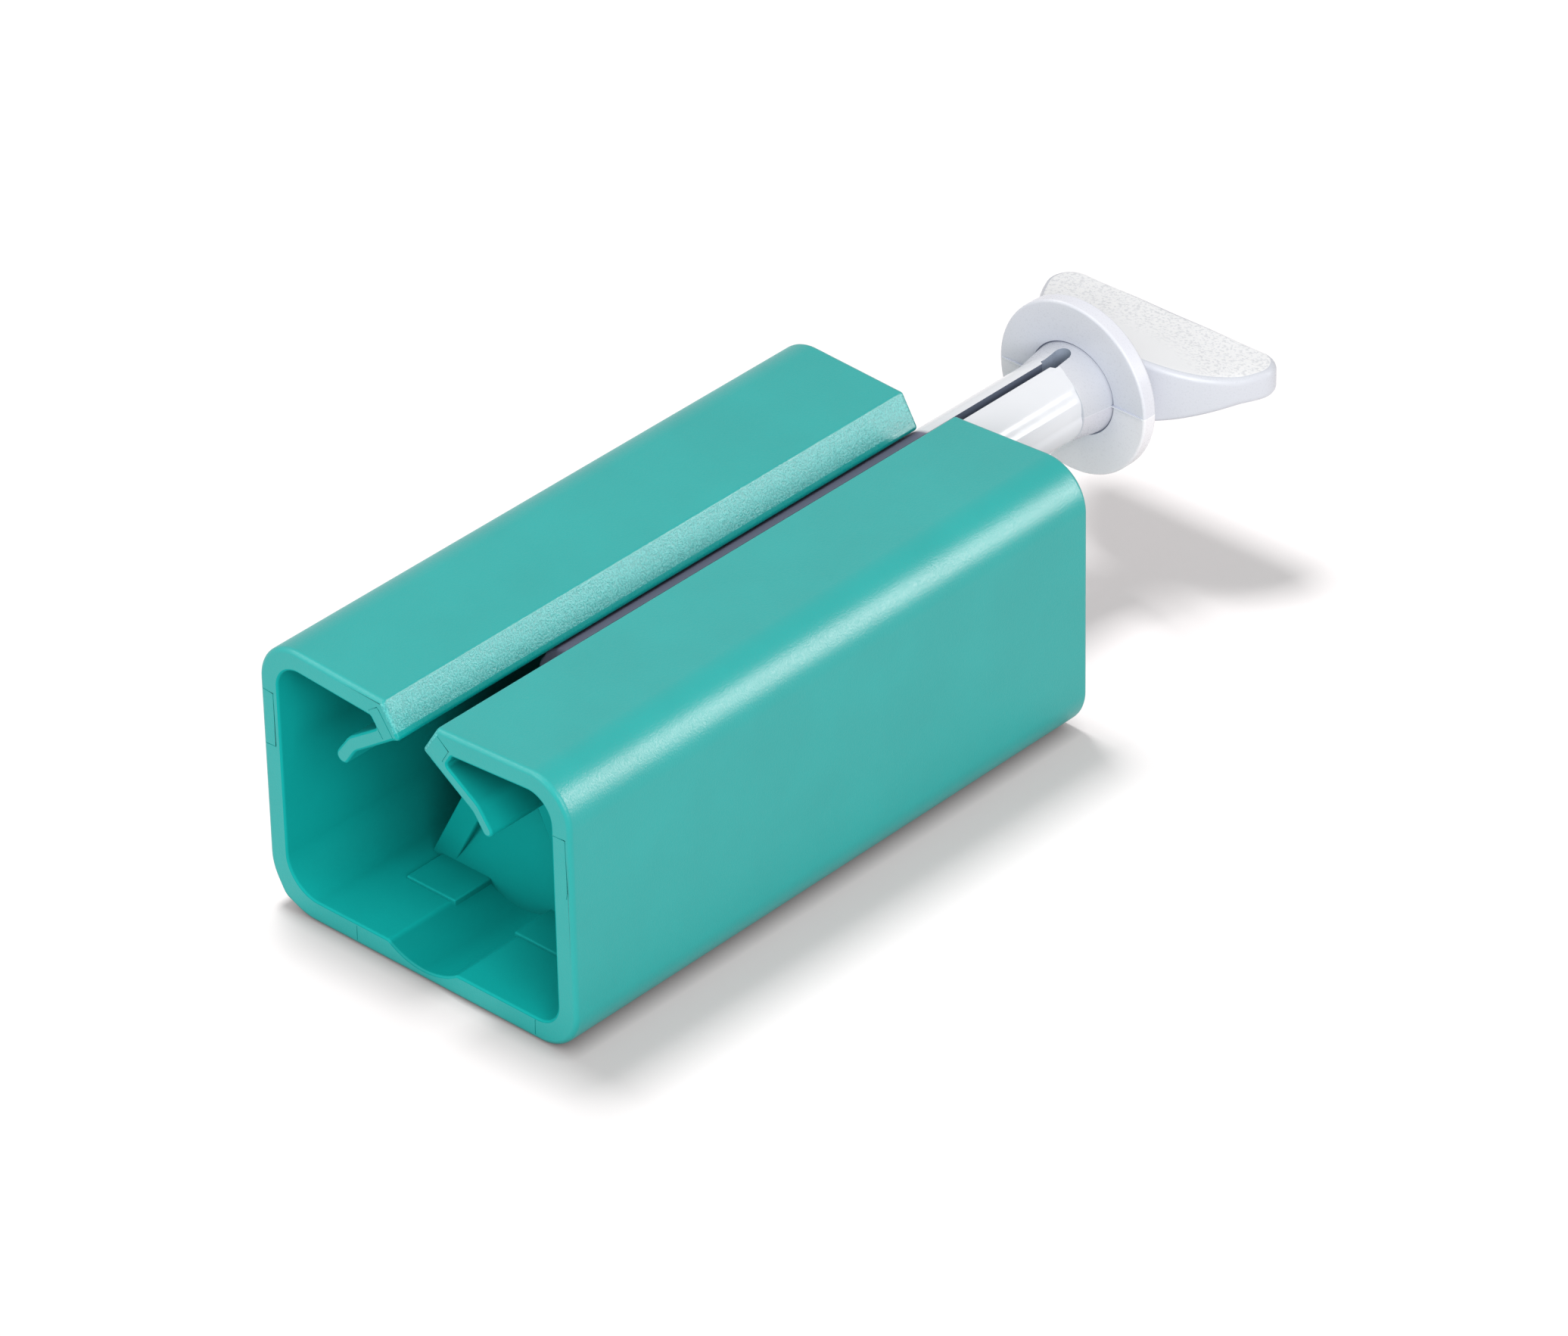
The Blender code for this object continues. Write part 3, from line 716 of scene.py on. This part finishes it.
def shell_material(middle, y):
    """Number of the shell's material at a point of the section, for a face that ends at y."""
    if -SLOT_LEFT + NEAR < middle.x < SLOT_RIGHT - NEAR and middle.y > COARSE_END:
        return SHELL_MATERIALS.index(teal_coarse)
    # Painted shade in the finger trough
    if abs(middle.x) < TROUGH_WIDTH / 2 and on_floor(middle) and y < TROUGH_END + NEAR:
        return SHELL_MATERIALS.index(teal_trough)
    # Painted shade on the noses
    if abs(middle.x) < NOSE_FACE_REACH and NOSE_FACE_BOTTOM < middle.y < COARSE_END:
        return SHELL_MATERIALS.index(teal_nose_shade)
    # The inside takes the darker teal: painted shade
    return SHELL_MATERIALS.index(teal if is_outside(middle) else teal_inside)


def build_shell():
    """The moulded shell with rounded end rims, its lips and the finger trough."""
    outline = housing_outline()
    roundings = rim_roundings(outline)
    sunk = [Vector((p.x, p.y - trough_sink(p.x))) if on_floor(p) and abs(p.x) < TROUGH_REACH + TINY
            else p.copy() for p in outline]
    turns = [math.radians(a) for a in range(90, -1, -18)]
    sections = [(FRONT_END, a, sunk) for a in turns]
    sections += [(TROUGH_END, None, sunk), (TROUGH_END + TROUGH_END_SLOPE, None, outline)]
    sections += [(REAR_END, a, outline) for a in reversed(turns)]
    bm = bmesh.new()
    rings = []
    for y, turn, line in sections:
        if turn is None:
            rings.append([bm.verts.new((p.x, y, p.y)) for p in line])
            continue
        into = -1 if y > 0 else 1
        ring = []
        for p, q, r in zip(line, inset_outline(line, 1 * MM), roundings):
            place = p + (q - p) * (r * (1 - math.cos(turn)) / MM)
            ring.append(bm.verts.new((place.x, y + into * r * (1 - math.sin(turn)), place.y)))
        rings.append(ring)
    bm.faces.new(rings[0])
    bm.faces.new(reversed(rings[-1]))
    for here, there in zip(rings, rings[1:]):
        for i in range(len(outline)):
            face = bm.faces.new((here[i - 1], there[i - 1], there[i], here[i]))
            face.material_index = shell_material((outline[i] + outline[i - 1]) / 2, there[i].co.y)
    shell = mesh_object("housing_shell", bm, SHELL_MATERIALS)
    cut_marks(shell)
    flatten(shell)
    return shell


def brace_outline():
    """A brace: two legs that lean together and end in a saddle round the shaft."""
    bore = SHAFT_RADIUS + KEY_CLEARANCE
    outer = bore + SADDLE_WALL
    lean = math.tan(BRACE_LEAN)
    reach = BRACE_HALF_BASE - lean * (AXIS_Z - FLOOR)
    a = 1 + lean * lean
    root = math.sqrt(max(0.0, reach * reach * lean * lean - a * (reach * reach - outer * outer)))
    meet = (reach * lean - root) / a
    meet_angle = math.atan2(meet, reach - lean * meet)
    horn_angle = (SADDLE_WRAP - math.pi) / 2
    foot_z = (FLOOR - TROUGH_DEPTH) / 2
    foot_x = BRACE_HALF_BASE + lean * (FLOOR - foot_z)
    right = arc_points((0, AXIS_Z), outer, meet_angle, horn_angle, 16)
    cradle = arc_points((0, AXIS_Z), bore, horn_angle, -math.pi - horn_angle, 60)
    return [Vector((foot_x, foot_z)), *right, *cradle, *mirrored(right), Vector((-foot_x, foot_z))]


def build_brace(name, front, recess_side):
    """Brace with a sloping recess between its legs, on its front (-1) or its back (1)."""
    back = front + BRACE_THICKNESS
    brace = prism(name, brace_outline(), front, back, (teal_inside,))
    lean = math.tan(BRACE_LEAN)
    foot_z = FLOOR + PAD_HEIGHT + RECESS_CLEARANCE
    height = AXIS_Z - SHAFT_RADIUS - KEY_CLEARANCE - 2 * SADDLE_WALL - foot_z
    half_low = BRACE_HALF_BASE - BRACE_RIM / math.cos(BRACE_LEAN) - lean * (foot_z - FLOOR)
    right = [Vector((half_low, 0)), Vector((half_low - lean * height, height))]
    recess = prism(name + "_recess", right + mirrored(right),
                   *sorted((recess_side * BRACE_THICKNESS, 0)), (teal_inside,))
    recess.rotation_euler.x = recess_side * BRACE_RECESS_SLOPE
    recess.location = (0, front if recess_side < 0 else back, foot_z)
    boolean(brace, recess, "DIFFERENCE")
    soften(brace, BRACE_EDGE_ROUNDING, 4)
    return brace


def build_pad(name, side):
    """Low pad in the floor, in front of the front brace, with soft edges."""
    brace_front = FRONT_END + FRONT_BRACE_INSET
    left, right = sorted((side * PAD_INNER, side * PAD_OUTER))
    pad = box(name, (left, brace_front - PAD_LENGTH, FLOOR - PAD_IN_FLOOR),
              (right, brace_front + PAD_IN_BRACE, FLOOR + PAD_HEIGHT), (teal_inside,))
    soften(pad, PAD_EDGE_ROUNDING)
    return pad


# Key

def shaft_radius(angle):
    """The shaft's radius at an angle from its top, less the drop beside its ridges."""
    for (low, here), (high, there) in zip(FLANK_DROPS, FLANK_DROPS[1:]):
        if angle <= high:
            return SHAFT_RADIUS - here - (there - here) * (angle - low) / (high - low)


def keyhole_cutter(start, spare=0.0):
    """Upright slit from a place on the Y axis, which widens to the keyhole's round end."""
    half = KEYHOLE_WIDTH / 2 + spare
    slit = SLIT_WIDTH / 2 + spare
    right = [Vector((slit, start)), Vector((slit, KEYHOLE_START)),
             Vector((half, KEYHOLE_START + KEYHOLE_SHOULDER))]
    round_end = arc_points((0, KEYHOLE_LENGTH - half), half, 0, math.pi, 24)
    reach = COLLAR_RADIUS + 1 * MM
    return prism("keyhole", right + round_end + mirrored(right), -reach, reach, (), upright=True)


def shade_hole(obj):
    """Give the walls of the slit and keyhole the object's second material, which paints shade on them.
    """
    for face in obj.data.polygons:
        x, y, _ = face.center
        width = SLIT_WIDTH if y < KEYHOLE_START else KEYHOLE_WIDTH
        upright = abs(face.normal.x) + abs(face.normal.y) > 0.9
        if upright and abs(x) < width / 2 + HOLE_MARGIN and y < KEYHOLE_LENGTH + HOLE_MARGIN:
            face.material_index = 1


def build_shaft():
    """The split winding shaft: two glossy prongs with a rounded end."""
    tip = -SHAFT_LENGTH + SHAFT_TIP_INSET
    nose = arc_points((SHAFT_RADIUS - SHAFT_TIP_ROUNDING, tip + SHAFT_TIP_ROUNDING),
                      SHAFT_TIP_ROUNDING, -math.pi / 2, 0, 10)
    spigot = SPIGOT_WIDTH / 2
    profile = [(0, tip), *nose, (SHAFT_RADIUS, SHAFT_IN_COLLAR), (spigot, SHAFT_IN_COLLAR),
               (spigot, SPIGOT_LENGTH), (0, SPIGOT_LENGTH)]
    shaft = turned("shaft_prongs", profile, (white_gloss, slit_shade))
    for vert in shaft.data.vertices:
        if math.hypot(vert.co.x, vert.co.z) > SHAFT_RADIUS - SHAFT_TIP_ROUNDING:
            angle = math.degrees(math.atan2(abs(vert.co.x), vert.co.z))
            vert.co.xz *= shaft_radius(angle) / SHAFT_RADIUS
    boolean(shaft, keyhole_cutter(tip - 1 * MM, SLIT_SPARE), "DIFFERENCE")
    shade_hole(shaft)
    soften(shaft, SHAFT_EDGE_ROUNDING, 3, 40.0)
    return shaft


def build_hub():
    """Collar with its keyhole and the groove at its foot, flange with parting ribs, and stem."""
    face_y = COLLAR_LENGTH
    skirt = [(SHAFT_RADIUS + out, COLLAR_SETBACK + behind) for out, behind in COLLAR_EDGE]
    groove = [(COLLAR_RADIUS, face_y), (COLLAR_RADIUS + GROOVE_BOTTOM, face_y + GROOVE_DEPTH),
              (COLLAR_RADIUS + GROOVE_WIDTH, face_y)]
    bulge = [(radius, face_y - rise) for radius, rise in FLANGE_BULGE]
    front_edge = arc_points((FLANGE_RADIUS - FLANGE_FRONT_ROUNDING,
                             face_y - FLANGE_RIM_RISE + FLANGE_FRONT_ROUNDING),
                            FLANGE_FRONT_ROUNDING, -math.pi / 2, 0, 10)
    back_edge = arc_points((FLANGE_RADIUS - FLANGE_BACK_ROUNDING, FLANGE_BACK - FLANGE_BACK_ROUNDING),
                           FLANGE_BACK_ROUNDING, 0, math.pi / 2, 8)
    stem_end = WING_APEX + WING_DEPTH / 3
    profile = [(0, COLLAR_SETBACK), *skirt, *groove, *bulge, *front_edge, *back_edge,
               (STEM_RADIUS, FLANGE_BACK), (STEM_RADIUS * STEM_TAPER, stem_end), (0, stem_end)]
    hub = turned("handle_hub", profile, (white_satin, keyhole_shade, collar_painted_shade))
    for vert in hub.data.vertices:
        radius = vert.co.xz.length
        if NEAR < radius < COLLAR_RADIUS + 2 * NEAR and vert.co.y < face_y + 2 * NEAR:
            vert.co.xz *= 1 - COLLAR_SQUASH * (vert.co.z / radius) ** 2
    for side in (-1, 1):
        low, high = sorted((side * (COLLAR_RADIUS - RIB_IN_COLLAR),
                            side * (FLANGE_RADIUS - RIB_FROM_RIM)))
        rib = box("parting_rib", (low, face_y - RIB_RISE, -RIB_WIDTH / 2),
                  (high, face_y + RIB_IN_FLANGE, RIB_WIDTH / 2))
        boolean(hub, rib, "UNION")
    # The collar's faces take the darker copy: painted shade
    for face in hub.data.polygons:
        if face.center.y < face_y and face.center.xz.length < COLLAR_RADIUS:
            face.material_index = 2
    boolean(hub, keyhole_cutter(-1 * MM), "DIFFERENCE")
    shade_hole(hub)
    flatten(hub, 38.0)
    return hub


def wing_outline():
    """Half-moon outline in X and Y: a round side by the flange, a straight back, round tips."""
    centre_y = WING_APEX + WING_ARC_RADIUS
    back = WING_APEX + WING_DEPTH
    tip_y = back - WING_TIP_RADIUS
    tip_x = math.sqrt((WING_ARC_RADIUS - WING_TIP_RADIUS) ** 2 - (centre_y - tip_y) ** 2)
    swing = math.atan2(tip_y - centre_y, tip_x)
    arc = arc_points((0, centre_y), WING_ARC_RADIUS, -math.pi - swing, swing, 96)
    right = arc_points((tip_x, tip_y), WING_TIP_RADIUS, swing, math.pi / 2, 20)
    edge = [Vector((tip_x * (1 - 2 * i / 30), back)) for i in range(1, 30)]
    return arc[1:-1] + right + edge + mirrored(right)


def clamp(value):
    return min(1.0, max(0.0, value))


def wing_half_thickness(x, y, side):
    """Half the wing's thickness, on its upper (1) or its lower side (-1).

    It is thin at the tips and the back and swells towards the stem. The upper side is dished between
    stem and tips.
    """
    arc_y = WING_APEX + WING_ARC_RADIUS - math.sqrt(max(0.0, WING_ARC_RADIUS ** 2 - x * x))
    across = clamp(1 - (x / WING_HUB_HALF_WIDTH) ** 2)
    along = clamp((y - arc_y) / (WING_APEX + WING_DEPTH - arc_y))
    swell = (WING_HUB_THICKNESS - WING_EDGE_THICKNESS) * across * (1 - along) ** 2
    turn = clamp((abs(x) - WING_DIP_START) / WING_DIP_WIDTH)
    dip = WING_DIP * (1 - math.cos(2 * math.pi * turn)) / 2 * (1 - 0.5 * along)
    return (WING_EDGE_THICKNESS + swell) / 2 - (dip if side > 0 else 0.0)


def build_wing():
    """Half-moon grip: grained faces, the upper one dished; smooth rolled edge and wall in painted
    shade.
    """
    outline = wing_outline()
    middle = Vector((0, WING_APEX + WING_DEPTH * WING_MIDDLE))
    rolls = [math.radians(a) for a in range(0, 91, 10)]
    levels = [(WING_EDGE_ROUNDING * (1 - math.sin(a)), WING_EDGE_ROUNDING * (1 - math.cos(a)), 1.0)
              for a in rolls]
    levels += [(0.0, WING_EDGE_ROUNDING, 1 - i / 25) for i in range(1, 25)]
    bm = bmesh.new()
    sides = []
    for side in (1, -1):
        rings = []
        for drop, inset, share in levels:
            ring = []
            for point in outline:
                place = point + (middle - point).normalized() * inset
                place = middle + (place - middle) * share
                height = wing_half_thickness(place.x, place.y, side) - drop
                ring.append(bm.verts.new((place.x, place.y, side * height)))
            rings.append(ring)
        for k, (outer, inner) in enumerate(zip(rings, rings[1:])):
            for i in range(len(outline)):
                face = bm.faces.new((outer[i - 1], outer[i], inner[i], inner[i - 1]))
                # Most of the rolled edge takes the darker white: painted shade
                face.material_index = 1 if k >= len(rolls) - 2 else 0
        centre = bm.verts.new((middle.x, middle.y, side * wing_half_thickness(*middle, side)))
        for i in range(len(outline)):
            bm.faces.new((rings[-1][i - 1], rings[-1][i], centre)).material_index = 1
        sides.append(rings[0])
    upper, lower = sides
    for i in range(len(outline)):
        bm.faces.new((upper[i - 1], lower[i - 1], lower[i], upper[i]))
    return mesh_object("handle_wing", bm, (wing_wall_painted_shade, white_grain), 60.0)


# Pieces on their bodies

shell = build_shell()
housing_pieces = [
    shell,
    build_brace("front_brace", FRONT_END + FRONT_BRACE_INSET, -1),
    build_brace("rear_brace", REAR_END - REAR_BRACE_INSET - BRACE_THICKNESS, 1),
    build_pad("floor_pad_left", -1),
    build_pad("floor_pad_right", 1),
]
for piece in housing_pieces:
    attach(piece, "housing")
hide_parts("housing")

shaft, hub, wing = build_shaft(), build_hub(), build_wing()
for piece, slot in ((shaft, "white_shaft"), (hub, "white_handle"), (wing, "white_handle")):
    piece.location = (0, COLLAR_FRONT, AXIS_Z)
    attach(piece, "key")
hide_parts("winding_shaft")
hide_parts("key_handle")


# Floor, light, camera

def white_for_camera(tree, seen, lit):
    """Value that is seen for camera and mirror rays, and lit for the light that falls on things."""
    rays = add_node(tree, "ShaderNodeLightPath").outputs
    view = maths(tree, "MAXIMUM", rays["Is Camera Ray"], rays["Is Glossy Ray"])
    view = maths(tree, "MAXIMUM", view, rays["Is Transmission Ray"])
    node = add_node(tree, "ShaderNodeMapRange", {"Value": view, "To Min": lit, "To Max": seen})
    return node.outputs["Result"]


def build_floor():
    """Plain pale floor that shows white and keeps the object's soft shadow; warm painted shade near the
    object.
    """
    bm = bmesh.new()
    bmesh.ops.create_grid(bm, x_segments=1, y_segments=1, size=GROUND_SIZE / 2)
    material = bpy.data.materials.new("pale_floor")
    material.use_nodes = True
    tree = material.node_tree
    shader = tree.nodes["Principled BSDF"]
    shader.inputs["Roughness"].default_value = 1.0
    shader.inputs["Specular IOR Level"].default_value = 0.0
    grey = white_for_camera(tree, GROUND_TONE_SEEN, GROUND_TONE_LIT)
    base = {"Red": maths(tree, "MULTIPLY", grey, GROUND_RED), "Green": grey, "Blue": grey}
    # Painted warm tint: the floor's light is redder where it is less open, near the object
    open_floor = openness(tree, SHADOW_REACH, SHADOW_SAMPLES)
    painted_shade_warmth = {"Red": maths(tree, "MULTIPLY_ADD", open_floor, -SHADOW_RED, 1 + SHADOW_RED),
            "Green": 1.0, "Blue": 1.0}
    # Painted shadow: the floor dims where it is less open, close to the object
    painted_contact_shadow = maths(tree, "POWER", openness(tree, CONTACT_REACH, CONTACT_SAMPLES), CONTACT_POWER)
    strength = maths(tree, "MULTIPLY", painted_contact_shadow, white_for_camera(tree, GROUND_GLOW, 0.0))
    for name, channels in (("Base Color", base), ("Emission Color", painted_shade_warmth)):
        colour = add_node(tree, "ShaderNodeCombineColor", channels).outputs["Color"]
        tree.links.new(colour, shader.inputs[name])
    tree.links.new(strength, shader.inputs["Emission Strength"])
    floor = mesh_object("pale_floor", bm, (material,))
    floor.location.z = -GROUND_DROP
    return floor


def area_lamp(name, direction, distance, width, height, watts, things, state="INCLUDE", diffuse=True):
    """Soft box that looks at the object from a direction.

    It falls on these things alone (INCLUDE), or on everything but them (EXCLUDE). One that isn't
    diffuse only shows in the gloss.
    """
    data = bpy.data.lights.new(name, "AREA")
    data.shape = "RECTANGLE"
    data.size = width
    data.size_y = height
    data.energy = watts
    lamp = bpy.data.objects.new(name, data)
    away = Vector(direction).normalized()
    lamp.location = LAMPS_AIM + away * distance
    lamp.rotation_euler = away.to_track_quat("Z", "Y").to_euler()
    lamp.visible_diffuse = diffuse
    bpy.context.scene.collection.objects.link(lamp)
    receivers = bpy.data.collections.new("lit_by_" + name)
    for thing in things:
        receivers.objects.link(thing)
    for entry in receivers.collection_objects:
        entry.light_linking.link_state = state
    lamp.light_linking.receiver_collection = receivers


floor = build_floor()
key_pieces = (shaft, hub, wing)
area_lamp("housing_glow", BEHIND_RIGHT, 0.7, 0.11, 0.45, 5.0, housing_pieces, diffuse=False)
area_lamp("key_streak", BEHIND_RIGHT, 0.7, 0.035, 0.45, 0.8, key_pieces, diffuse=False)
area_lamp("edge_light", (-0.57, -0.45, 0.69), 0.9, 0.3, 0.3, 1.6, housing_pieces, diffuse=False)
area_lamp("floor_shadow", (-0.235, 0.06, 1.0), 0.9, 0.21, 0.21, 11.5, (floor,))
area_lamp("overhead_softbox", (-0.19, -0.26, 0.95), 0.9, 0.55, 0.55, 2.0, (floor,), "EXCLUDE")
area_lamp("right_softbox", (0.76, -0.44, 0.48), 0.9, 0.5, 0.5, 4.8, (floor,), "EXCLUDE")
area_lamp("front_left_softbox", (-0.38, -0.83, 0.38), 0.9, 0.4, 0.4, 2.1, housing_pieces)
area_lamp("key_fill", (0.78, -0.60, 0.15), 0.9, 0.4, 0.4, 1.2, key_pieces)
area_lamp("key_left_fill", (-0.75, 0.25, 0.60), 0.9, 0.4, 0.4, 1.8, (shaft, hub))

world = bpy.data.worlds.new("studio")
bpy.context.scene.world = world
world.use_nodes = True
background = world.node_tree.nodes["Background"].inputs
background["Color"].default_value = (*WHITE, 1.0)
world.node_tree.links.new(white_for_camera(world.node_tree, SKY_SEEN, SKY_LIT), background["Strength"])

right = Vector((math.cos(AZIMUTH), math.sin(AZIMUTH), 0))
back = Vector((math.sin(AZIMUTH) * math.cos(ELEVATION), -math.cos(AZIMUTH) * math.cos(ELEVATION),
               math.sin(ELEVATION)))
up = back.cross(right)
across = right * math.cos(ROLL) + up * math.sin(ROLL)
upward = up * math.cos(ROLL) - right * math.sin(ROLL)
lens = bpy.data.cameras.new("photo_camera")
lens.sensor_width = SENSOR_WIDTH
lens.lens = FOCAL_PIXELS / PHOTO_PIXELS * SENSOR_WIDTH
lens.clip_start = NEAREST_SEEN
camera = bpy.data.objects.new("photo_camera", lens)
camera.matrix_world = (Matrix.Translation(CAMERA_PLACE)
                       @ Matrix((across, upward, back)).transposed().to_4x4())
bpy.context.scene.collection.objects.link(camera)
bpy.context.scene.camera = camera
bpy.context.scene.view_settings.view_transform = "Standard"

bpy.context.view_layer.update()
